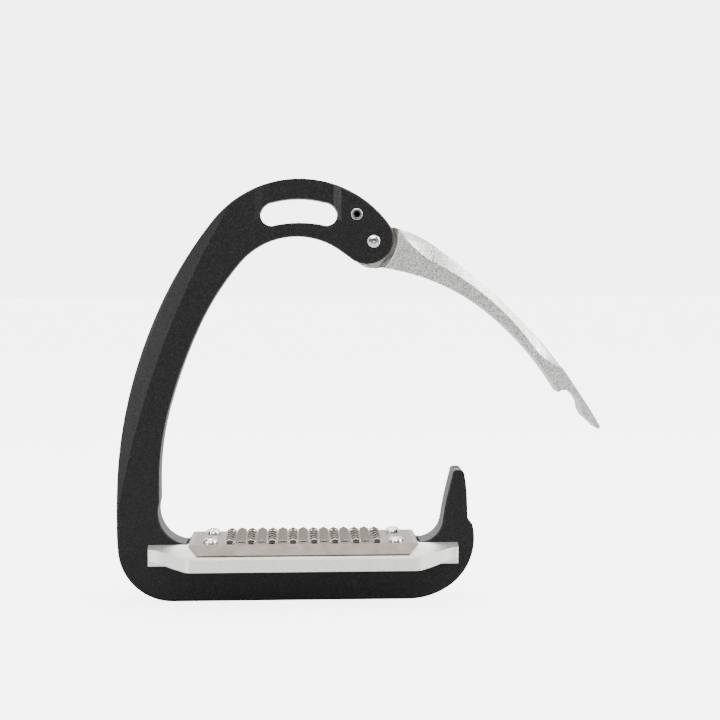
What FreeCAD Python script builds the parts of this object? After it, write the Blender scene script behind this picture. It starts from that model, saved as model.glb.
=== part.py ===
import FreeCAD, Part
import math
import os
import Sketcher
from FreeCAD import Placement, Rotation, Vector

# Safety stirrup iron, millimetres. +X towards the release side, +Y to the back, +Z up.
# The origin is the middle of the flat under the frame's bottom bar.

doc = FreeCAD.newDocument("stirrup_iron")

DIMENSIONS = [
    ("frame_depth", 17.0, "front to back size of the frame"),
    ("edge_round", 0.8, "round on the frame's front and back edges"),
    ("bar_top", 15.6, "top of the bottom bar, which the tread base rests on"),
    ("seat_half", 49.2, "half length of the bar's seat for the tread base"),
    ("pivot_x", 30.0, "hinge pivot, sideways"),
    ("pivot_z", 150.8, "hinge pivot, height"),
    ("slot_radius", 11.9, "radius of the hinge slot about the pivot"),
    ("slot_width", 10.0, "front to back width of the hinge slot"),
    ("pin_radius", 2.0, "pivot pin shank"),
    ("pin_bore", 2.05, "pivot bore in the frame's ears"),
    ("pin_head_radius", 2.6, "domed head of the pivot pin"),
    ("pin_head_rise", 0.9, "height of the domed head over the face"),
    ("pin_length", 14.0, "pivot pin shank length"),
    ("pin_screw_head", 0.9, "thickness of the head of the screw at the pin's back end"),
    ("bush_radius", 3.0, "outside of the pivot bush"),
    ("bush_bore", 2.05, "inside of the pivot bush"),
    ("knuckle_width", 8.4, "width of the arm's knuckle in the hinge slot"),
    ("washer_radius", 5.6, "outside of the hinge washers"),
    ("washer_thick", 0.35, "thickness of one hinge washer"),
    ("spring_washer_thick", 0.35, "thickness of the sprung friction washer"),
    ("lock_screw_x", 23.0, "socket screw over the pivot, sideways"),
    ("lock_screw_z", 162.1, "socket screw over the pivot, height"),
    ("lock_screw_radius", 1.25, "shank of the socket screw"),
    ("lock_head_radius", 2.5, "head of the socket screw"),
    ("lock_head_sink", 2.2, "depth of the recess for the socket head"),
    ("lock_head_rise", 0.5, "how far the socket head stands out"),
    ("lock_screw_length", 13.0, "length of the socket screw's shank"),
    ("hex_socket_radius", 1.45, "corner radius of the hexagon recess"),
    ("arm_depth", 15.6, "front to back size of the release arm"),
    ("arm_clear_radius", 9.9, "radius where the arm narrows to its knuckle"),
    ("arm_bevel_depth", 3.4, "depth of the bevel along the arm's outer edges"),
    ("base_half_length", 65.0, "half length of the tread base"),
    ("base_half_width", 28.0, "half width of the tread base"),
    ("base_top", 24.6, "top of the tread base beside the frame"),
    ("base_rim_top", 22.0, "top of the tread base at its rims"),
    ("fork_slot_half", 8.75, "half width of the slots for the frame"),
    ("fork_slot_end", 47.2, "where those slots end"),
    ("plate_half_length", 47.5, "half length of the grip plate"),
    ("plate_half_width", 18.0, "half width of the grip plate"),
    ("plate_thick", 0.8, "sheet thickness of the grip plate"),
    ("plate_top", 25.5, "top face of the grip plate"),
    ("flange_bottom", 21.6, "bottom edge of the grip plate's sloping flanges"),
    ("flange_spread", 4.2, "how far a flange leans out"),
    ("flange_mitre", 3.6, "how far a flange's ends are cut back at the bottom"),
    ("tooth_rise", 2.3, "height of a tooth over the plate"),
    ("tooth_eaves", 1.25, "height where a tooth is widest"),
    ("tooth_side", 2.12, "half width of a tooth there"),
    ("tooth_foot", 1.35, "half width of a tooth at the plate"),
    ("tooth_mouth", 1.9, "from a tooth's middle to its open end"),
    ("tooth_tail", 1.5, "from a tooth's middle to its closed end"),
    ("tooth_tail_scale", 0.45, "size of the closed end against the open end"),
    ("tooth_sheet", 0.55, "thickness of a stretched tooth against the flat sheet"),
    ("tooth_pitch_x", 8.75, "spacing of two equal columns of teeth"),
    ("tooth_pitch_y", 5.94, "spacing of the rows of teeth"),
    ("plate_screw_x", 38.7, "plate screws from the middle, sideways"),
    ("plate_screw_y", 12.6, "plate screws from the middle, front to back"),
    ("plate_screw_head", 3.2, "head radius of a plate screw"),
    ("plate_screw_rise", 2.1, "head height of a plate screw"),
    ("plate_screw_shank", 1.5, "shank radius of a plate screw"),
    ("plate_screw_length", 6.5, "shank length of a plate screw"),
    ("bar_screw_x", 27.0, "base screws from the middle"),
    ("bar_screw_shank", 2.0, "shank radius of a base screw"),
    ("bar_screw_head", 3.5, "head radius of a base screw"),
    ("bar_screw_sink", 9.0, "depth of the base screws' counterbores"),
    ("bar_screw_length", 13.0, "shank length of a base screw"),
    ("magnet_width", 2.3, "width of the closing magnets"),
    ("magnet_length", 6.4, "front to back length of the closing magnets"),
    ("magnet_height", 5.0, "height of the magnet in the post"),
    ("keeper_height", 3.4, "height of the arm's magnet, inside its thinner shoulder"),
]
SIZE = {alias: number for alias, number, note in DIMENSIONS}


def make_sheet():
    sheet = doc.addObject("Spreadsheet::Sheet", "sizes")
    for row, (alias, number, note) in enumerate(DIMENSIONS, start=1):
        sheet.set(f"A{row}", note)
        sheet.set(f"B{row}", str(number))
        sheet.setAlias(f"B{row}", alias)
    doc.recompute()


def bind(feature, prop, formula):
    """Tie a property to the sheet; words in the formula are aliases."""
    feature.setExpression(prop, formula)


def cell(alias):
    return f"sizes.{alias}"


def new_body(label):
    body = doc.addObject("PartDesign::Body", label)
    body.Label = label
    return body


def new_sketch(body, name, role, offset=0.0, rotation=None):
    plane = next(p for p in body.Origin.OriginFeatures if p.Role == role)
    sketch = body.newObject("Sketcher::SketchObject", name)
    sketch.AttachmentSupport = [(plane, "")]
    sketch.MapMode = "FlatFace"
    sketch.AttachmentOffset = Placement(Vector(0, 0, offset), rotation or Rotation())
    return sketch


def smooth_middle(here, heading, end):
    """Middle of the arc that leaves in the heading's direction and reaches the end."""
    chord = end - here
    bend = math.atan2(chord.x * heading.y - chord.y * heading.x, chord.dot(heading))
    left = Vector(-chord.y, chord.x, 0)
    return here + chord * 0.5 + left * (0.5 * math.tan(bend / 2))


def draw_outline(sketch, start, steps):
    """Closed outline. One point is a line, two points an arc through the first of them,
    and the word smooth with a point an arc that carries on in the last step's direction."""
    here = Vector(*start, 0)
    heading = None
    for step in steps:
        end = Vector(*step[-1], 0)
        if len(step) == 1:
            edge = Part.LineSegment(here, end)
            heading = end - here
        else:
            middle = smooth_middle(here, heading, end) if step[0] == "smooth" else Vector(*step[0], 0)
            edge = Part.Arc(here, middle, end)
            spoke = end - Part.Circle(here, middle, end).Center
            heading = Vector(-spoke.y, spoke.x, 0)
            if heading.dot(end - middle) < 0:
                heading = heading * -1
        number = sketch.addGeometry(edge, False)
        sketch.addConstraint(Sketcher.Constraint("Block", number))
        here = end


def draw_circle(sketch, x_alias, y_alias, radius_alias, x_sign=1):
    """A circle whose centre and radius follow the sheet; None is a centre line."""
    x = x_sign * SIZE[x_alias] if x_alias else 0.0
    y = SIZE[y_alias] if y_alias else 0.0
    ring = sketch.addGeometry(Part.Circle(Vector(x, y, 0), Vector(0, 0, 1), SIZE[radius_alias]), False)
    radius = sketch.addConstraint(Sketcher.Constraint("Radius", ring, SIZE[radius_alias]))
    sketch.setExpression(f"Constraints[{radius}]", cell(radius_alias))
    for kind, alias, sign in (("DistanceX", x_alias, x_sign), ("DistanceY", y_alias, 1)):
        ends = (-1, 1, ring, 3) if sign > 0 else (ring, 3, -1, 1)
        place = sketch.addConstraint(Sketcher.Constraint(kind, *ends, SIZE[alias] if alias else 0.0))
        if alias:
            sketch.setExpression(f"Constraints[{place}]", cell(alias))
    return ring


def pad(body, sketch, formula, symmetric=False, reverse=False):
    feature = body.newObject("PartDesign::Pad", sketch.Name + "_pad")
    feature.Profile = sketch
    bind(feature, "Length", formula)
    feature.Midplane = symmetric
    feature.Reversed = reverse
    finish_step(body, feature, sketch)
    return feature


def pocket(body, sketch, formula=None, symmetric=False, reverse=False):
    """Cut a sketch out of the body, right through when there is no formula."""
    before = body.Shape.Volume
    feature = body.newObject("PartDesign::Pocket", sketch.Name + "_pocket")
    feature.Profile = sketch
    if formula:
        bind(feature, "Length", formula)
    else:
        feature.Type = "ThroughAll"
    feature.Midplane = symmetric
    feature.Reversed = reverse
    finish_step(body, feature, sketch)
    if body.Shape.Volume > before - 1e-3:
        raise RuntimeError(f"{feature.Name} removed nothing")
    return feature


def revolve(body, sketch, kind="PartDesign::Revolution", axis="V_Axis"):
    feature = body.newObject(kind, sketch.Name + "_turn")
    feature.Profile = sketch
    feature.ReferenceAxis = (sketch, [axis])
    feature.Angle = 360
    finish_step(body, feature, sketch)
    return feature


def finish_step(body, feature, sketch=None):
    if sketch is not None:
        sketch.Visibility = False
    doc.recompute()
    if feature.Shape.isNull() or not feature.isValid():
        raise RuntimeError(f"{body.Label}: {feature.Name} has no shape")


def edges_in_face_plane(shape, y):
    """Names of the edges that lie in the plane at this front-to-back place."""
    names = []
    for number, edge in enumerate(shape.Edges, start=1):
        box = edge.BoundBox
        if abs(box.YMin - y) < 1e-4 and abs(box.YMax - y) < 1e-4:
            names.append(f"Edge{number}")
    return names


def round_edges(body, names, radius_formula, kind="PartDesign::Fillet"):
    base = body.Tip
    feature = body.newObject(kind, f"edge_{kind[12:].lower()}")
    feature.Base = (base, names)
    bind(feature, "Radius" if kind.endswith("Fillet") else "Size", radius_formula)
    body.Tip = feature
    finish_step(body, feature)
    return feature


# ---------------------------------------------------------------- the frame

def frame_outline(sketch):
    """Front view of the frame, the release side open between the post and the hinge ears."""
    bar, seat = SIZE["bar_top"], SIZE["seat_half"]
    draw_outline(sketch, (-54.9, 0), [
        [(44.0, 0)],
        ["smooth", (60.6, 4.8)],
        ["smooth", (71.4, 31.4)],
        [(69.3, 33.6)],
        [(69.0, 42.8)],
        ["smooth", (68.0, 52.4)],
        [(67.2, 54.1), (65.4, 54.6)],
        [(64.8, 54.6)],
        [(63.4, 54.1), (63.0, 52.8)],
        [(60.5, 43.0), (58.7, 33.0)],
        [(55.6, 27.0), (seat, 24.3)],
        [(seat, bar)],
        [(-seat, bar)],
        [(-seat, 24.3)],
        [(-55.8, 27.2), (-60.2, 42.0)],
        [(-60.2, 50.0)],
        ["smooth", (-56.2, 80.0)],
        ["smooth", (-43.4, 115.0)],
        ["smooth", (-25.9, 142.1)],
        ["smooth", (16.2, 147.1)],
        [(22.0, 142.9)],
        [(26.6, 141.4), (31.4, 142.2)],
        [(38.1, 150.2), (36.6, 157.8)],
        [(-0.8, 177.0), (-36.9, 159.8)],
        ["smooth", (-58.8, 125.0)],
        ["smooth", (-72.9, 85.0)],
        ["smooth", (-77.8, 50.0)],
        ["smooth", (-78.2, 30.0)],
        ["smooth", (-77.8, 21.1)],
        ["smooth", (-54.9, 0)],
    ])


def eye_outline(sketch):
    """The bean-shaped eye for the stirrup leather."""
    draw_outline(sketch, (-17.3, 162.4), [
        [(-15.9, 158.8), (-12.2, 157.3)],
        [(-1.0, 158.6), (10.2, 157.3)],
        [(13.7, 158.8), (15.1, 162.4)],
        [(13.4, 165.6), (9.6, 167.3)],
        [(-1.1, 168.7), (-11.8, 167.4)],
        [(-15.6, 165.6), (-17.3, 162.4)],
    ])


def at_post_top(shape, name):
    """The post's outer flank and top stay sharp, where the arm's tongue closes on them."""
    middle = shape.getElement(name).CenterOfMass
    return middle.x > 62 and middle.z > 32


def make_frame():
    body = new_body("frame")
    outline = new_sketch(body, "frame_outline", "XZ_Plane")
    frame_outline(outline)
    pad(body, outline, cell("frame_depth"), symmetric=True)
    half = SIZE["frame_depth"] / 2
    names = edges_in_face_plane(body.Shape, -half) + edges_in_face_plane(body.Shape, half)
    round_edges(body, [name for name in names if not at_post_top(body.Shape, name)], cell("edge_round"))

    branch_line = [(-73.4, 49.0), (-59.8, 103.0), (-33.8, 155.0)]
    cut_ring_bevels(body, "branch_bevel", branch_line, half, [(6.5, 1.15), (14.0, 4.0)], 5.0)

    eye = new_sketch(body, "eye_slot", "XZ_Plane")
    eye_outline(eye)
    pocket(body, eye, symmetric=True)

    recess = new_sketch(body, "eye_recess", "XY_Plane", offset=159.5)
    for side in (-1, 1):
        outside = side * (half + 1)
        draw_outline(recess, (-19.4, outside), [
            [(-19.4, side * half)],
            [(-16.2, side * (half - 1.3))],
            [(13.4, side * (half - 1.3))],
            [(16.6, side * half)],
            [(16.6, outside)],
            [(-19.4, outside)],
        ])
    pocket(body, recess, reverse=True)

    slot = new_sketch(body, "hinge_slot", "XZ_Plane")
    draw_circle(slot, "pivot_x", "pivot_z", "slot_radius")
    pocket(body, slot, cell("slot_width"), symmetric=True)

    bores = new_sketch(body, "pivot_bore", "XZ_Plane")
    draw_circle(bores, "pivot_x", "pivot_z", "pin_bore")
    draw_circle(bores, "lock_screw_x", "lock_screw_z", "lock_screw_radius")
    pocket(body, bores, symmetric=True)

    sink = new_sketch(body, "lock_screw_recess", "XZ_Plane", offset=half)
    draw_circle(sink, "lock_screw_x", "lock_screw_z", "lock_head_radius")
    pocket(body, sink, cell("lock_head_sink"))

    holes = new_sketch(body, "base_screw_holes", "XY_Plane")
    for side in (-1, 1):
        draw_circle(holes, "bar_screw_x", None, "bar_screw_shank", side)
    pocket(body, holes, cell("bar_top"), reverse=True)

    sinks = new_sketch(body, "base_screw_recesses", "XY_Plane")
    for side in (-1, 1):
        draw_circle(sinks, "bar_screw_x", None, "bar_screw_head", side)
    pocket(body, sinks, cell("bar_screw_sink"), reverse=True)

    catch = new_sketch(body, "magnet_slot", "XY_Plane", offset=54.7)
    draw_magnet(catch, 65.1)
    pocket(body, catch, cell("magnet_height") + " + 0.2")
    return body


def cut_ring_bevels(body, label, rim_points, half, slope, tilt_degrees):
    """Bevel the front and back faces outside a circle through three points.
    A tilt lifts the ring out of the face on both sides of the middle point, so the bevel fades."""
    curve = Part.Circle(*[Vector(x, z, 0) for x, z in rim_points])
    centre = curve.Center
    across = math.degrees(math.atan2(rim_points[1][1] - centre.y, rim_points[1][0] - centre.x))
    tilt = math.radians(tilt_degrees)
    for face, inward in (("front", 1), ("back", -1)):
        lean = Rotation(Vector(0, 0, 1), inward * tilt_degrees)
        turn = Rotation(Vector(0, 1, 0), -across).multiply(lean)
        cutter = new_sketch(body, f"{label}_{face}", "XY_Plane")
        cutter.AttachmentOffset = Placement(Vector(centre.x, 0, centre.y), turn)
        near = curve.Radius * math.cos(tilt) - half * math.sin(tilt)
        level = -inward * (half * math.cos(tilt) + curve.Radius * math.sin(tilt))
        far = near + slope[-1][0]
        corners = [[(near + out, level + inward * down)] for out, down in slope]
        corners += [[(far, level - inward * 6.0)], [(near, level - inward * 6.0)], [(near, level)]]
        draw_outline(cutter, (near, level), corners)
        revolve(body, cutter, "PartDesign::Groove")


def draw_magnet(sketch, x):
    wide, long = SIZE["magnet_width"] / 2, SIZE["magnet_length"] / 2
    draw_outline(sketch, (x - wide, -long), [
        [(x + wide, -long)],
        [(x + wide, long)],
        [(x - wide, long)],
        [(x - wide, -long)],
    ])


# ---------------------------------------------------------------- the release arm

# The keeper magnet sits square in the arm's shoulder, which leans with the open arm.
KEEPER_X = 0.0
KEEPER_SEAT = Placement(Vector(110.0, 0, 88.0), Rotation(Vector(0, 1, 0), 31.0))

def make_release_arm():
    """The swinging side, standing open: knuckle at the pivot, hooked tongue at the far end."""
    body = new_body("release_arm")
    outline = new_sketch(body, "arm_outline", "XZ_Plane")
    draw_outline(outline, (39.2, 156.4), [
        [(33.0, 157.7)],
        [(22.6, 152.6), (24.0, 146.2)],
        [(22.9, 142.6)],
        [(28.2, 139.7), (33.6, 139.9)],
        [(35.8, 139.4)],
        [(58.2, 132.9), (78.9, 120.3)],
        ["smooth", (107.8, 87.0)],
        [(109.6, 88.1), (111.4, 88.0)],
        [(115.6, 84.6), (117.4, 79.4)],
        [(118.9, 76.4)],
        [(123.5, 72.5)],
        [(124.9, 71.7), (125.2, 73.0)],
        [(121.4, 79.4)],
        [(116.2, 87.4), (108.8, 98.3)],
        [(91.6, 118.2), (72.4, 136.0)],
        ["smooth", (55.8, 148.7)],
        ["smooth", (39.2, 156.4)],
    ])
    pad(body, outline, cell("arm_depth"), symmetric=True)
    half = SIZE["arm_depth"] / 2
    for side, label in ((-1, "front"), (1, "back")):
        cut_arm_bevel(body, side, half, label)

    for side in (-1, 1):
        label = "front" if side < 0 else "back"
        step = new_sketch(body, f"knuckle_{label}", "XZ_Plane", offset=-side * half)
        draw_circle(step, "pivot_x", "pivot_z", "arm_clear_radius")
        depth = "(sizes.arm_depth - sizes.knuckle_width) / 2"
        pocket(body, step, depth, reverse=(side > 0))
        heel = new_sketch(body, f"heel_{label}", "XZ_Plane", offset=-side * half)
        right, low, high = 33.6, 136.0, 162.0
        draw_outline(heel, (18.0, low), [[(right, low)], [(right, high)], [(18.0, high)], [(18.0, low)]])
        pocket(body, heel, depth, reverse=(side > 0))

    bore = new_sketch(body, "bush_bore", "XZ_Plane")
    draw_circle(bore, "pivot_x", "pivot_z", "bush_radius")
    pocket(body, bore, symmetric=True)

    seat = new_sketch(body, "keeper_seat", "XY_Plane")
    seat.AttachmentOffset = KEEPER_SEAT
    draw_magnet(seat, KEEPER_X)
    pocket(body, seat, "sizes.keeper_height", reverse=True)
    return body


def cut_arm_bevel(body, side, half, label):
    """The broad bevel along the outer edge: a loft from its line on the face to the edge itself."""
    crest = new_sketch(body, f"bevel_crest_{label}", "XZ_Plane", offset=-side * half)
    draw_outline(crest, (40.6, 155.4), [
        [(47.0, 148.2), (54.0, 142.6)],
        [(77.6, 127.4), (98.3, 104.8)],
        [(103.4, 100.4), (109.6, 97.2)],
        [(122.0, 112.0)],
        [(60.0, 170.0)],
        [(40.6, 155.4)],
    ])
    edge = new_sketch(body, f"bevel_edge_{label}", "XZ_Plane",
                      offset=-side * (half - SIZE["arm_bevel_depth"]))
    draw_outline(edge, (40.8, 156.2), [
        [(48.6, 152.6), (56.0, 148.7)],
        [(80.2, 130.0), (99.6, 109.0)],
        [(104.8, 102.9), (109.8, 97.4)],
        [(122.0, 112.0)],
        [(60.0, 170.0)],
        [(40.8, 156.2)],
    ])
    before = body.Shape.Volume
    feature = body.newObject("PartDesign::SubtractiveLoft", f"arm_bevel_{label}")
    feature.Profile = crest
    feature.Sections = [edge]
    feature.Ruled = True
    finish_step(body, feature, edge)
    if body.Shape.Volume > before - 1:
        raise RuntimeError(f"{feature.Name} removed nothing")


# ---------------------------------------------------------------- small turned parts

def turned(label, points, where, axis, angle=0.0):
    """A body turned about its own Z axis from a half profile, then placed.
    Each profile coordinate is a number or a sheet alias, with a minus sign where needed."""
    body = new_body(label)
    sketch = new_sketch(body, label + "_profile", "XZ_Plane")
    spots = [Vector(number_of(x), number_of(z), 0) for x, z in points]
    last = len(spots)
    for here in range(last):
        sketch.addGeometry(Part.LineSegment(spots[here], spots[(here + 1) % last]), False)
    for here in range(last):
        sketch.addConstraint(Sketcher.Constraint("Coincident", here, 2, (here + 1) % last, 1))
    for here, (x, z) in enumerate(points):
        tie(sketch, "DistanceX", here, x)
        tie(sketch, "DistanceY", here, z)
    revolve(body, sketch)
    body.Placement = Placement(Vector(*where), Rotation(Vector(0, 0, 1), Vector(*axis)))
    return body


def number_of(size):
    if isinstance(size, str):
        return -SIZE[size[1:]] if size.startswith("-") else SIZE[size]
    return size


def tie(sketch, kind, corner, size):
    place = sketch.addConstraint(Sketcher.Constraint(kind, -1, 1, corner, 1, number_of(size)))
    if isinstance(size, str):
        minus = "-" if size.startswith("-") else ""
        sketch.setExpression(f"Constraints[{place}]", minus + cell(size.lstrip("-")))


def cut_socket(body, corner_alias, depth, top):
    """A hexagon recess in the top of a screw head."""
    sketch = new_sketch(body, "socket", "XY_Plane", offset=top)
    reach = SIZE[corner_alias]
    corners = [(reach * math.cos(math.radians(60 * k)), reach * math.sin(math.radians(60 * k)))
               for k in range(6)]
    draw_outline(sketch, corners[0], [[corner] for corner in corners[1:] + corners[:1]])
    pocket(body, sketch, str(depth))


def make_pivot_parts():
    half = SIZE["frame_depth"] / 2
    px, pz = SIZE["pivot_x"], SIZE["pivot_z"]
    turned("pivot_pin", [
        (0, "-pin_length"), ("pin_radius", "-pin_length"), ("pin_radius", 0),
        ("pin_head_radius", 0), ("pin_head_radius", 0.25),
        (2.2, 0.62), (1.4, 0.84), (0, "pin_head_rise"),
    ], (px, -half, pz), (0, -1, 0))
    screw = turned("pivot_screw", [
        (0, -3.0), (1.9, -3.0), (1.9, 0), ("pin_head_radius", 0),
        ("pin_head_radius", 0.5), (2.1, "pin_screw_head"), (0, "pin_screw_head"),
    ], (px, half, pz), (0, 1, 0))
    cut_socket(screw, "hex_socket_radius", 0.7, SIZE["pin_screw_head"])
    wide = SIZE["knuckle_width"] / 2
    turned("pivot_bush", [
        ("bush_bore", -wide), ("bush_radius", -wide), ("bush_radius", wide), ("bush_bore", wide),
    ], (px, 0, pz), (0, 1, 0))
    thick = SIZE["washer_thick"]
    for label, side in (("thrust_washer_front", -1), ("thrust_washer_back", 1)):
        turned(label, [
            ("pin_bore", 0), ("washer_radius", 0),
            ("washer_radius", "washer_thick"), ("pin_bore", "washer_thick"),
        ], (px, side * (wide + 0.03), pz), (0, side, 0))
    turned("friction_spring", [
        ("pin_bore", 0.05), (4.6, 0), (4.6, 0.3), ("pin_bore", "spring_washer_thick"),
    ], (px, wide + 0.03 + thick + 0.02, pz), (0, 1, 0))
    lock = turned("hinge_lock_screw", [
        (0, "-lock_screw_length"), ("lock_screw_radius", "-lock_screw_length"),
        ("lock_screw_radius", 0), (2.4, 0), (2.4, 2.4), (2.1, 2.7), (0, 2.7),
    ], (SIZE["lock_screw_x"], -half + SIZE["lock_head_sink"], SIZE["lock_screw_z"]), (0, -1, 0))
    cut_socket(lock, "hex_socket_radius", 1.6, 2.7)


# ---------------------------------------------------------------- magnets of the catch

def make_magnets():
    """One magnet in the post's top, one in the arm's shoulder that lands on it."""
    catch = ("catch_magnet", 65.1, 49.7, "magnet_height")
    keeper = ("keeper_magnet", KEEPER_X, 0.0, "keeper_height")
    for label, x, z, height in (catch, keeper):
        magnet = new_body(label)
        face = new_sketch(magnet, label + "_face", "XY_Plane", offset=z)
        draw_magnet(face, x)
        pad(magnet, face, cell(height) + " - 0.4")
        if label == "keeper_magnet":
            magnet.Placement = KEEPER_SEAT


# ---------------------------------------------------------------- the tread

def make_tread_base():
    body = new_body("tread_base")
    half_x, half_y = SIZE["base_half_length"], SIZE["base_half_width"]
    top_view = new_sketch(body, "base_outline", "XY_Plane", offset=SIZE["bar_top"])
    corner, end_y = 45.5, 11.6
    shoulder, waist, nose = (50.0, 25.8), (57.6, 17.4), (64.0, 13.4)

    def at(point, side_x, side_y):
        return point[0] * side_x, point[1] * side_y

    steps = [[(corner, -half_y)]]
    for side_x, side_y in ((1, -1), (1, 1), (-1, 1), (-1, -1)):
        run = [[at((48.2, 27.4), side_x, side_y), at(shoulder, side_x, side_y)],
               [at(waist, side_x, side_y)],
               [at((60.4, 14.8), side_x, side_y), at(nose, side_x, side_y)],
               [at((64.8, 12.8), side_x, side_y), at((half_x, end_y), side_x, side_y)]]
        if side_x == side_y:
            run = reverse_run(at((corner, half_y), side_x, side_y), run)
            steps += [[at((half_x, end_y), side_x, side_y)]] + run
        else:
            steps += ([] if side_x > 0 else [[at((corner, half_y), side_x, side_y)]]) + run
    draw_outline(top_view, (-corner, -half_y), steps)
    pad(body, top_view, "sizes.base_top - sizes.bar_top")
    crown_base(body)
    for side in (-1, 1):
        fork = new_sketch(body, f"fork_slot_{'left' if side < 0 else 'right'}", "XY_Plane")
        inner, wide = side * SIZE["fork_slot_end"], SIZE["fork_slot_half"]
        far = side * (half_x + 2)
        draw_outline(fork, (inner, -wide), [
            [(far, -wide)], [(far, wide)], [(inner, wide)], [(inner, -wide)],
        ])
        pocket(body, fork, reverse=True)
    holes = new_sketch(body, "base_bolt_holes", "XY_Plane")
    for side in (-1, 1):
        draw_circle(holes, "bar_screw_x", None, "bar_screw_shank", side)
    pocket(body, holes, "sizes.bar_screw_sink + sizes.bar_screw_length + 0.5", reverse=True)
    plate_holes = new_sketch(body, "plate_screw_holes", "XY_Plane", offset=SIZE["base_top"])
    for place_x in (-1, 1):
        for place_y in (-1, 1):
            ring = Part.Circle(Vector(place_x * SIZE["plate_screw_x"], place_y * SIZE["plate_screw_y"], 0),
                               Vector(0, 0, 1), SIZE["plate_screw_shank"])
            plate_holes.addGeometry(ring, False)
    pocket(body, plate_holes, cell("plate_screw_length") + " + 0.3")
    return body


def reverse_run(start, run):
    """The same lines and arcs from their far end back to the start."""
    ends = [start] + [step[-1] for step in run]
    return [step[:-1] + [ends[place]] for place, step in reversed(list(enumerate(run)))]


def crown_base(body):
    """Shape the top: a raised seat with sloping sides under the plate, rounded falls at the ends."""
    top, rim, floor = SIZE["base_top"], SIZE["base_rim_top"], SIZE["bar_top"]
    half_y, half_x = SIZE["base_half_width"], SIZE["base_half_length"]
    beyond, seat_end, rib = half_y + 1, 48.3, 11.5
    for side, label in ((-1, "front"), (1, "back")):
        seat = new_sketch(body, f"seat_side_{label}", "YZ_Plane")
        draw_outline(seat, (side * 17.6, top), [
            [(side * 21.6, rim - 1.2)],
            [(side * (half_y - 0.9), rim - 0.2)],
            [(side * beyond, rim - 2.4)],
            [(side * beyond, top + 2)],
            [(side * 17.6, top + 2)],
            [(side * 17.6, top)],
        ])
        pocket(body, seat, f"2 * {seat_end}", symmetric=True)
        for end, name in ((-1, "left"), (1, "right")):
            fall = new_sketch(body, f"end_fall_{label}_{name}", "YZ_Plane", offset=end * seat_end)
            draw_outline(fall, (side * 8.0, top - 0.2), [
                [(side * 14.5, top - 2.0), (side * (half_y - 0.9), rim - 0.3)],
                [(side * beyond, rim - 2.4)],
                [(side * beyond, top + 2)],
                [(side * 8.0, top + 2)],
                [(side * 8.0, top - 0.2)],
            ])
            pocket(body, fall, "20", reverse=(end > 0))
            rise = new_sketch(body, f"end_rise_{label}_{name}", "XZ_Plane", offset=-side * rib)
            draw_outline(rise, (end * 47.0, floor), [
                [(end * 57.0, floor + 1.1), (end * (half_x + 1), floor + 3.0)],
                [(end * (half_x + 1), floor - 1)],
                [(end * 47.0, floor - 1)],
                [(end * 47.0, floor)],
            ])
            pocket(body, rise, "20", reverse=(side < 0))


def from_sheet(alias):
    """A size for the pressed plate, as the spreadsheet holds it."""
    return float(doc.getObject("sizes").get(alias))


def make_grip_plate():
    """Bent and pressed sheet: a flat top, two flanges, pierced rows of raised teeth."""
    long, wide = from_sheet("plate_half_length"), from_sheet("plate_half_width")
    thick, top = from_sheet("plate_thick"), from_sheet("plate_top")
    solid = Part.makeBox(2 * long, 2 * wide, thick, Vector(-long, -wide, top - thick))
    drop = top - from_sheet("flange_bottom")
    spread, mitre = from_sheet("flange_spread"), from_sheet("flange_mitre")
    slant = math.hypot(drop, spread)
    for side in (-1, 1):
        corners = [Vector(-long, side * wide, top), Vector(long, side * wide, top),
                   Vector(long - mitre, side * (wide + spread), top - drop),
                   Vector(mitre - long, side * (wide + spread), top - drop)]
        face = Part.Face(Part.makePolygon(corners + corners[:1]))
        inward = Vector(0, -side * drop / slant, -spread / slant) * thick
        solid = solid.fuse(face.extrude(inward))
    screw_x, screw_y = from_sheet("plate_screw_x"), from_sheet("plate_screw_y")
    for x in (-screw_x, screw_x):
        for y in (-screw_y, screw_y):
            place = Vector(x, y, top - 2 * thick)
            solid = solid.cut(Part.makeCylinder(from_sheet("plate_screw_shank") + 0.1, 3 * thick, place))
    pitch_x, pitch_y = from_sheet("tooth_pitch_x"), from_sheet("tooth_pitch_y")
    holes, teeth = [], []
    for column in range(-7, 8):
        facing = -1 if column % 2 else 1
        rows = 6 if facing < 0 else 5
        for row in range(rows):
            y = (row - (rows - 1) / 2) * pitch_y
            place = Vector(column * pitch_x / 2, y, top)
            holes.append(tooth_hole(place, facing))
            teeth.append(tooth(place, facing))
    solid = solid.cut(Part.makeCompound(holes))
    solid = solid.fuse(teeth).removeSplitter()
    plate = doc.addObject("Part::Feature", "grip_plate")
    plate.Label = "grip_plate"
    plate.Shape = solid
    plate.Placement = Placement()
    return plate


def tooth_section(scale, y, sheet):
    """The open hexagon of sheet that a tooth shows at its mouth, standing across the tooth."""
    foot = from_sheet("tooth_foot")
    side = foot + (from_sheet("tooth_side") - foot) * scale
    eaves, rise = from_sheet("tooth_eaves") * scale, from_sheet("tooth_rise") * scale
    outside = [(foot, -sheet), (foot, 0), (side, eaves)]
    inside = [(foot - sheet, -sheet), (side - 1.15 * sheet, max(eaves, 0.1))]
    right = [Vector(x, y, z) for x, z in outside]
    inner = [Vector(x, y, z) for x, z in inside]
    points = [mirrored(point) for point in right] + [Vector(0, y, rise)] + right[::-1]
    points += inner + [Vector(0, y, rise - 1.25 * sheet)] + [mirrored(point) for point in inner[::-1]]
    return Part.makePolygon(points + points[:1])


def mirrored(point):
    return Vector(-point.x, point.y, point.z)


def tooth(place, facing):
    sheet = from_sheet("plate_thick") * from_sheet("tooth_sheet")
    mouth = tooth_section(1.0, facing * from_sheet("tooth_mouth"), sheet)
    tail = tooth_section(from_sheet("tooth_tail_scale"), -facing * from_sheet("tooth_tail"), sheet)
    shape = Part.makeLoft([mouth, tail], True, True)
    shape.translate(place)
    return shape


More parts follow.
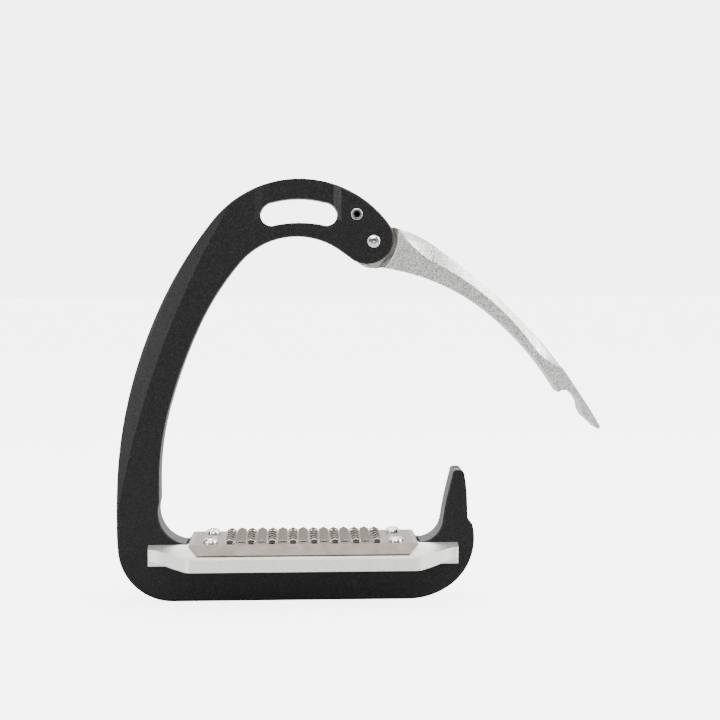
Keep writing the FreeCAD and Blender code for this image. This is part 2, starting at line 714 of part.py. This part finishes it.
def tooth_hole(place, facing):
    """The hexagonal window left where the sheet is lifted."""
    half = from_sheet("tooth_pitch_x") / 4 - 0.55
    corners = [Vector(-half, 1.1, 0), Vector(half, 1.1, 0), Vector(half + 0.4, -0.6, 0),
               Vector(half * 0.62, -1.9, 0), Vector(-half * 0.62, -1.9, 0), Vector(-half - 0.4, -0.6, 0)]
    face = Part.Face(Part.makePolygon(corners + corners[:1]))
    shape = face.extrude(Vector(0, 0, 3))
    if facing > 0:
        shape.rotate(Vector(0, 0, 0), Vector(0, 0, 1), 180)
    shape.translate(place + Vector(0, 0, -2))
    return shape


def make_fasteners():
    head, rise = "plate_screw_head", SIZE["plate_screw_rise"]
    names = {(-1, -1): "front_left", (1, -1): "front_right", (-1, 1): "back_left", (1, 1): "back_right"}
    for (x, y), where in names.items():
        screw = turned("plate_screw_" + where, [
            (0, "-plate_screw_length"), ("plate_screw_shank", "-plate_screw_length"),
            ("plate_screw_shank", 0), (head, 0), (head, 0.5), (2.95, 1.15),
            (2.35, 1.7), (1.6, 2.0), (0, "plate_screw_rise"),
        ], (x * SIZE["plate_screw_x"], y * SIZE["plate_screw_y"], SIZE["plate_top"]), (0, 0, 1))
        cut_socket(screw, "hex_socket_radius", 1.1, rise)
    for x, where in ((-1, "left"), (1, "right")):
        screw = turned("base_screw_" + where, [
            (0, "-bar_screw_length"), ("bar_screw_shank", "-bar_screw_length"),
            ("bar_screw_shank", 0), (3.4, 0), (3.4, 3.6), (3.1, 4.0), (0, 4.0),
        ], (x * SIZE["bar_screw_x"], 0, SIZE["bar_screw_sink"]), (0, 0, -1))
        cut_socket(screw, "hex_socket_radius", 2.0, 4.0)


def write_parts():
    doc.recompute()
    os.makedirs("parts", exist_ok=True)
    for item in doc.Objects:
        if {"Invalid", "Error"} & set(item.State):
            raise RuntimeError(f"{item.Label} did not build")
    for item in doc.Objects:
        if item.TypeId not in ("PartDesign::Body", "Part::Feature"):
            continue
        if item.Shape.isNull() or not item.Shape.isValid():
            raise RuntimeError(f"{item.Label} has no sound shape")
        item.Shape.exportStep(f"parts/{item.Label}.step")


make_sheet()
make_frame()
make_release_arm()
make_pivot_parts()
make_magnets()
make_tread_base()
make_grip_plate()
make_fasteners()
write_parts()
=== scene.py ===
import math

import bmesh
import bpy
from mathutils import Matrix, Vector


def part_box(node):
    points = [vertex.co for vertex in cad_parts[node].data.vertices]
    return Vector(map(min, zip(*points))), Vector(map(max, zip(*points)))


# Safety stirrup iron: looks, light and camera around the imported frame. Metres, +Z up, front is -Y.

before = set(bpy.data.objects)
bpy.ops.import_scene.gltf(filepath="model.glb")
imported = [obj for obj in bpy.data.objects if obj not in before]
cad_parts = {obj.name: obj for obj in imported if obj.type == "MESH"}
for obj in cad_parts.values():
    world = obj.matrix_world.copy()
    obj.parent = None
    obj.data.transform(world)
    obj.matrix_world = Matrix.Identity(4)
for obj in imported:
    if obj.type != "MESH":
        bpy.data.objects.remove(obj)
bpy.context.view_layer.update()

CAMERA_PLACE = (-0.003, -0.723, 0.143)
CAMERA_AIM = (0.0379, 1.0, -0.0584)
CAMERA_ROLL = -0.22
CAMERA_LENS = 85.6

WORLD_FRONT = 0.12
WORLD_BACK = 2.2
WORLD_SEEN = 5.2
FLOOR_GLOW = 0.08
FLOOR_SEEN = 4.9

EAR_SEAT_CENTRE = (0.0200, 0.0, 0.1540)
EAR_SEAT_RADIUS = 0.0204
# width of the painted shade ring inside the ear seat
EAR_SEAT_SHADE_WIDTH = 0.0022
# width of the painted highlight line outside the ear seat
EAR_SEAT_HIGHLIGHT_WIDTH = 0.0004

TOOTH_PITCH = 0.00875
TOOTH_FOOT_HEIGHT = 0.0256
TOOTH_FOOT_FADE = 0.0003
TOOTH_EDGE_FADE = 0.0001

SOCKET_LIP = 0.0004
SOCKET_DEEP = 0.0009
STEEL_LIGHTER = 1.08
FLOOR_REACH = 6.0


# ---------------------------------------------------------------- materials

class Look:
    """A node material with a Principled surface and helpers to wire textures into it."""

    def __init__(self, name, colour, metallic=0.0, roughness=0.5):
        self.material = bpy.data.materials.new(name)
        self.material.use_nodes = True
        self.nodes = self.material.node_tree.nodes
        self.links = self.material.node_tree.links
        self.shader = self.nodes["Principled BSDF"]
        self.set("Base Color", (*colour, 1.0))
        self.set("Metallic", metallic)
        self.set("Roughness", roughness)
        places = self.nodes.new("ShaderNodeTexCoord")
        self.where = places.outputs["Object"]
        self.facing = places.outputs["Normal"]
        self.normal = None

    def set(self, socket, value):
        self.shader.inputs[socket].default_value = value

    def stretched(self, scale):
        mapping = self.nodes.new("ShaderNodeMapping")
        mapping.inputs["Scale"].default_value = scale
        self.links.new(self.where, mapping.inputs["Vector"])
        return mapping.outputs["Vector"]

    def noise(self, scale, detail=3.0, stretch=None):
        texture = self.nodes.new("ShaderNodeTexNoise")
        texture.inputs["Scale"].default_value = scale
        texture.inputs["Detail"].default_value = detail
        self.links.new(self.stretched(stretch) if stretch else self.where, texture.inputs["Vector"])
        return texture.outputs["Fac"]

    def flecks(self, scale, share):
        """One where a random cell catches the light, nought elsewhere."""
        cells = self.nodes.new("ShaderNodeTexVoronoi")
        cells.inputs["Scale"].default_value = scale
        self.links.new(self.where, cells.inputs["Vector"])
        split = self.nodes.new("ShaderNodeSeparateColor")
        self.links.new(cells.outputs["Color"], split.inputs["Color"])
        test = self.nodes.new("ShaderNodeMath")
        test.operation = "GREATER_THAN"
        test.inputs[1].default_value = 1.0 - share
        self.links.new(split.outputs["Red"], test.inputs[0])
        return test.outputs["Value"]

    def ramp(self, factor, low, high, start=0.3, end=0.7):
        """Spread a texture between two values."""
        spread = self.nodes.new("ShaderNodeMapRange")
        spread.inputs["From Min"].default_value = start
        spread.inputs["From Max"].default_value = end
        spread.inputs["To Min"].default_value = low
        spread.inputs["To Max"].default_value = high
        self.links.new(factor, spread.inputs["Value"])
        return spread.outputs["Result"]

    def tint(self, factor, first, second):
        mix = self.nodes.new("ShaderNodeMix")
        mix.data_type = "RGBA"
        mix.inputs[6].default_value = (*first, 1.0)
        mix.inputs[7].default_value = (*second, 1.0)
        self.links.new(factor, mix.inputs[0])
        self.links.new(mix.outputs[2], self.shader.inputs["Base Color"])

    def cover(self, factor, colour):
        """Lay a further colour over the tint where the factor is one."""
        under = self.shader.inputs["Base Color"].links[0].from_socket
        mix = self.nodes.new("ShaderNodeMix")
        mix.data_type = "RGBA"
        mix.inputs[7].default_value = (*colour, 1.0)
        self.links.new(factor, mix.inputs[0])
        self.links.new(under, mix.inputs[6])
        self.links.new(mix.outputs[2], self.shader.inputs["Base Color"])

    def part(self, vector, axis):
        split = self.nodes.new("ShaderNodeSeparateXYZ")
        self.links.new(vector, split.inputs["Vector"])
        return split.outputs[axis]

    def distance(self, centre):
        """How far a point is from an axis that runs front to back through the centre."""
        flat = self.nodes.new("ShaderNodeVectorMath")
        flat.operation = "MULTIPLY"
        flat.inputs[1].default_value = (1.0, 0.0, 1.0)
        self.links.new(self.where, flat.inputs[0])
        length = self.nodes.new("ShaderNodeVectorMath")
        length.operation = "DISTANCE"
        length.inputs[1].default_value = centre
        self.links.new(flat.outputs["Vector"], length.inputs[0])
        return length.outputs["Value"]

    def band(self, value, inner, outer, soft=0.0002):
        """One between two values, nought outside them."""
        above = self.ramp(value, 0.0, 1.0, inner - soft, inner + soft)
        below = self.ramp(value, 1.0, 0.0, outer - soft, outer + soft)
        return self.times(above, below)

    def times(self, first, second):
        product = self.nodes.new("ShaderNodeMath")
        product.operation = "MULTIPLY"
        self.links.new(first, product.inputs[0])
        self.links.new(second, product.inputs[1])
        return product.outputs["Value"]

    def rough(self, factor, low, high):
        self.links.new(self.ramp(factor, low, high), self.shader.inputs["Roughness"])

    def bump(self, factor, strength, height=0.00005):
        node = self.nodes.new("ShaderNodeBump")
        node.inputs["Strength"].default_value = strength
        node.inputs["Distance"].default_value = height
        self.links.new(factor, node.inputs["Height"])
        if self.normal:
            self.links.new(self.normal, node.inputs["Normal"])
        self.normal = node.outputs["Normal"]
        self.links.new(self.normal, self.shader.inputs["Normal"])


def black_coat():
    look = Look("black_coat", (0.003, 0.003, 0.0033), roughness=0.45)
    look.set("Specular IOR Level", 0.24)
    look.tint(look.flecks(5200, 0.16), (0.002, 0.002, 0.0022), (0.022, 0.021, 0.020))
    look.rough(look.noise(900), 0.36, 0.50)
    look.bump(look.noise(2600, 2.0), 0.35)
    return look.material


def blasted_silver():
    look = Look("blasted_silver", (0.62, 0.62, 0.60), metallic=1.0, roughness=0.4)
    look.tint(look.ramp(look.noise(1900, 3.0), 0.0, 1.0, 0.4, 0.6), (0.40, 0.40, 0.38), (0.98, 0.98, 0.96))
    off = look.distance(EAR_SEAT_CENTRE)
    # painted shade: a dark ring just inside the ear seat, where the recess falls in shadow
    ear_seat_shade = look.band(off, EAR_SEAT_RADIUS - EAR_SEAT_SHADE_WIDTH, EAR_SEAT_RADIUS)
    look.cover(ear_seat_shade, (0.30, 0.27, 0.25))
    # painted highlight: a near-white line just outside the ear seat, where its bevel catches the light
    ear_seat_highlight = look.band(off, EAR_SEAT_RADIUS, EAR_SEAT_RADIUS + EAR_SEAT_HIGHLIGHT_WIDTH)
    look.cover(ear_seat_highlight, (1.0, 1.0, 0.98))
    look.rough(look.noise(700), 0.28, 0.42)
    look.bump(look.noise(2200, 3.0), 0.8)
    return look.material


def cast_silver():
    look = Look("cast_silver", (0.74, 0.75, 0.71), metallic=0.85, roughness=0.36)
    look.tint(look.ramp(look.noise(900, 4.0), 0.0, 1.0), (0.82, 0.83, 0.78), (0.95, 0.96, 0.91))
    look.rough(look.noise(800), 0.28, 0.42)
    look.bump(look.noise(1300, 3.0), 0.4)
    return look.material


def painted_edge_highlight(look):
    """One on the cut edges of the raised teeth that face forward, nought elsewhere: these get a painted
    highlight.
    """
    facing = look.part(look.facing, "Y")
    height = look.part(look.where, "Z")
    forward = look.ramp(facing, 1.0, 0.0, -0.9, -0.6)
    raised = look.ramp(height, 0.0, 1.0,
                       TOOTH_FOOT_HEIGHT - TOOTH_FOOT_FADE, TOOTH_FOOT_HEIGHT + TOOTH_EDGE_FADE)
    return look.times(forward, raised)


def shaded_columns(look):
    """One along every second column of teeth, which opens backward and shows only its tails: painted shade
    darkens these columns.
    """
    turn = look.nodes.new("ShaderNodeMath")
    turn.operation = "MULTIPLY"
    turn.inputs[1].default_value = 2.0 * math.pi / TOOTH_PITCH
    look.links.new(look.part(look.where, "X"), turn.inputs[0])
    wave = look.nodes.new("ShaderNodeMath")
    wave.operation = "COSINE"
    look.links.new(turn.outputs["Value"], wave.inputs[0])
    height = look.part(look.where, "Z")
    raised = look.ramp(height, 0.0, 1.0, TOOTH_FOOT_HEIGHT - TOOTH_FOOT_FADE, TOOTH_FOOT_HEIGHT)
    return look.times(look.ramp(wave.outputs["Value"], 0.0, 1.0, -0.1, 0.3), raised)


def stainless_sheet():
    look = Look("stainless_sheet", (0.26, 0.225, 0.19), metallic=1.0, roughness=0.34)
    look.tint(look.ramp(look.noise(160, 5.0), 0.0, 1.0), (0.23, 0.20, 0.17), (0.31, 0.275, 0.24))
    # painted shade: every second column of teeth darkened
    look.cover(shaded_columns(look), (0.11, 0.09, 0.075))
    # painted highlight: near-white on the forward-facing cut edges of the teeth
    look.cover(painted_edge_highlight(look), (0.90, 0.87, 0.82))
    look.rough(look.noise(60, 4.0, stretch=(4.0, 60.0, 60.0)), 0.26, 0.42)
    look.bump(look.noise(70, 3.0, stretch=(2.0, 50.0, 50.0)), 0.12)
    return look.material


def bright_steel(name, colour, low, high):
    look = Look(name, colour, metallic=1.0, roughness=low)
    lighter = tuple(min(1, part * STEEL_LIGHTER) for part in colour)
    look.tint(look.ramp(look.noise(500, 3.0), 0.0, 1.0), colour, lighter)
    look.rough(look.noise(350, 3.0), low, high)
    look.bump(look.noise(2200, 2.0), 0.08)
    return look.material


def socket_steel():
    """Polished steel whose recess, below the head's face, is painted near-black as shade."""
    look = Look("socket_steel", (0.72, 0.71, 0.69), metallic=1.0, roughness=0.12)
    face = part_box("hinge_lock_screw")[0][1]
    deep = look.ramp(look.part(look.where, "Y"), 0.0, 1.0, face + SOCKET_LIP, face + SOCKET_DEEP)
    # painted shade: the socket recess turns near-black below the head's face
    look.tint(deep, (0.72, 0.71, 0.69), (0.004, 0.004, 0.004))
    look.rough(look.noise(400), 0.1, 0.22)
    look.bump(look.noise(2200, 2.0), 0.08)
    return look.material


def dark_polymer():
    look = Look("dark_polymer", (0.02, 0.02, 0.02), roughness=0.6)
    look.tint(look.noise(300), (0.017, 0.017, 0.017), (0.026, 0.026, 0.026))
    look.bump(look.noise(1800), 0.2)
    return look.material


def dress(nodes, material):
    for node in nodes:
        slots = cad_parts[node].data.materials
        slots.clear()
        slots.append(material)


def dress_frame():
    polished = bright_steel("polished_steel", (0.72, 0.71, 0.69), 0.10, 0.2)
    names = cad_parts
    dress(["frame"], black_coat())
    dress(["release_arm"], blasted_silver())
    dress(["tread_base"], cast_silver())
    dress(["grip_plate"], stainless_sheet())
    dress([name for name in names if "screw" in name or name == "pivot_pin"], polished)
    dress(["hinge_lock_screw"], socket_steel())
    dress(["pivot_bush"], bright_steel("bronze", (0.45, 0.30, 0.14), 0.25, 0.4))
    dress(["friction_spring"], bright_steel("spring_steel", (0.35, 0.35, 0.36), 0.25, 0.4))
    dress(["catch_magnet", "keeper_magnet"], bright_steel("nickel", (0.16, 0.16, 0.165), 0.3, 0.45))
    dress(["thrust_washer_front", "thrust_washer_back"], dark_polymer())


# ---------------------------------------------------------------- studio

def seen_or_lighting(nodes, links, seen, lighting):
    """The paper shows white in the picture but lights the object only a little."""
    pick = nodes.new("ShaderNodeMix")
    pick.inputs[2].default_value = lighting
    pick.inputs[3].default_value = seen
    links.new(nodes.new("ShaderNodeLightPath").outputs["Is Camera Ray"], pick.inputs[0])
    return pick


def make_floor():
    mesh = bpy.data.meshes.new("floor")
    shape = bmesh.new()
    bmesh.ops.create_grid(shape, x_segments=1, y_segments=1, size=FLOOR_REACH)
    shape.to_mesh(mesh)
    shape.free()
    floor = bpy.data.objects.new("floor", mesh)
    bpy.context.scene.collection.objects.link(floor)
    look = Look("floor_paper", (0.45, 0.45, 0.45), roughness=0.8)
    look.tint(look.noise(3.0), (0.44, 0.44, 0.44), (0.46, 0.46, 0.46))
    look.set("Emission Color", (1.0, 1.0, 1.0, 1.0))
    glow = seen_or_lighting(look.nodes, look.links, FLOOR_SEEN, FLOOR_GLOW)
    look.links.new(glow.outputs[0], look.shader.inputs["Emission Strength"])
    mesh.materials.append(look.material)


def make_lamp(name, place, aim, size, power):
    data = bpy.data.lights.new(name, "AREA")
    data.shape = "RECTANGLE"
    data.size, data.size_y = size
    data.energy = power
    lamp = bpy.data.objects.new(name, data)
    lamp.location = place
    lamp.rotation_euler = (Vector(aim) - Vector(place)).to_track_quat("-Z", "Y").to_euler()
    bpy.context.scene.collection.objects.link(lamp)


def shade_world(tree):
    """A white backdrop to the camera; for the object, bright behind and above, dimmer in front."""
    nodes, links = tree.nodes, tree.links
    background = nodes["Background"]
    background.inputs["Color"].default_value = (1.0, 1.0, 1.0, 1.0)
    direction = nodes.new("ShaderNodeTexCoord").outputs["Generated"]
    split = nodes.new("ShaderNodeSeparateXYZ")
    links.new(direction, split.inputs["Vector"])
    fade = nodes.new("ShaderNodeMapRange")
    fade.inputs["From Min"].default_value = -0.9
    fade.inputs["From Max"].default_value = 0.0
    fade.inputs["To Min"].default_value = WORLD_FRONT
    fade.inputs["To Max"].default_value = WORLD_BACK
    links.new(split.outputs["Y"], fade.inputs["Value"])
    pick = seen_or_lighting(nodes, links, WORLD_SEEN, WORLD_BACK)
    links.new(fade.outputs["Result"], pick.inputs[2])
    links.new(pick.outputs[0], background.inputs["Strength"])


def make_light():
    world = bpy.data.worlds.new("studio")
    world.use_nodes = True
    shade_world(world.node_tree)
    bpy.context.scene.world = world
    middle = (0.02, 0.0, 0.08)
    make_lamp("top_softbox", (0.0, 0.3, 0.9), middle, (0.9, 0.7), 9.0)
    make_lamp("left_softbox", (-0.85, -0.75, 0.35), middle, (0.3, 0.9), 10.0)
    make_lamp("right_softbox", (0.9, -0.25, 0.5), middle, (0.4, 0.8), 13.0)
    make_lamp("front_softbox", (0.0, -1.1, 0.75), middle, (0.7, 0.4), 6.0)


def make_camera():
    data = bpy.data.cameras.new("camera")
    data.lens = CAMERA_LENS
    data.sensor_width = 36.0
    data.clip_start = 0.01
    data.dof.use_dof = False
    camera = bpy.data.objects.new("camera", data)
    facing = Vector(CAMERA_AIM).to_track_quat("-Z", "Y").to_matrix().to_4x4()
    roll = Matrix.Rotation(math.radians(CAMERA_ROLL), 4, "Z")
    camera.matrix_world = Matrix.Translation(CAMERA_PLACE) @ facing @ roll
    bpy.context.scene.collection.objects.link(camera)
    bpy.context.scene.camera = camera


dress_frame()
make_floor()
make_light()
make_camera()
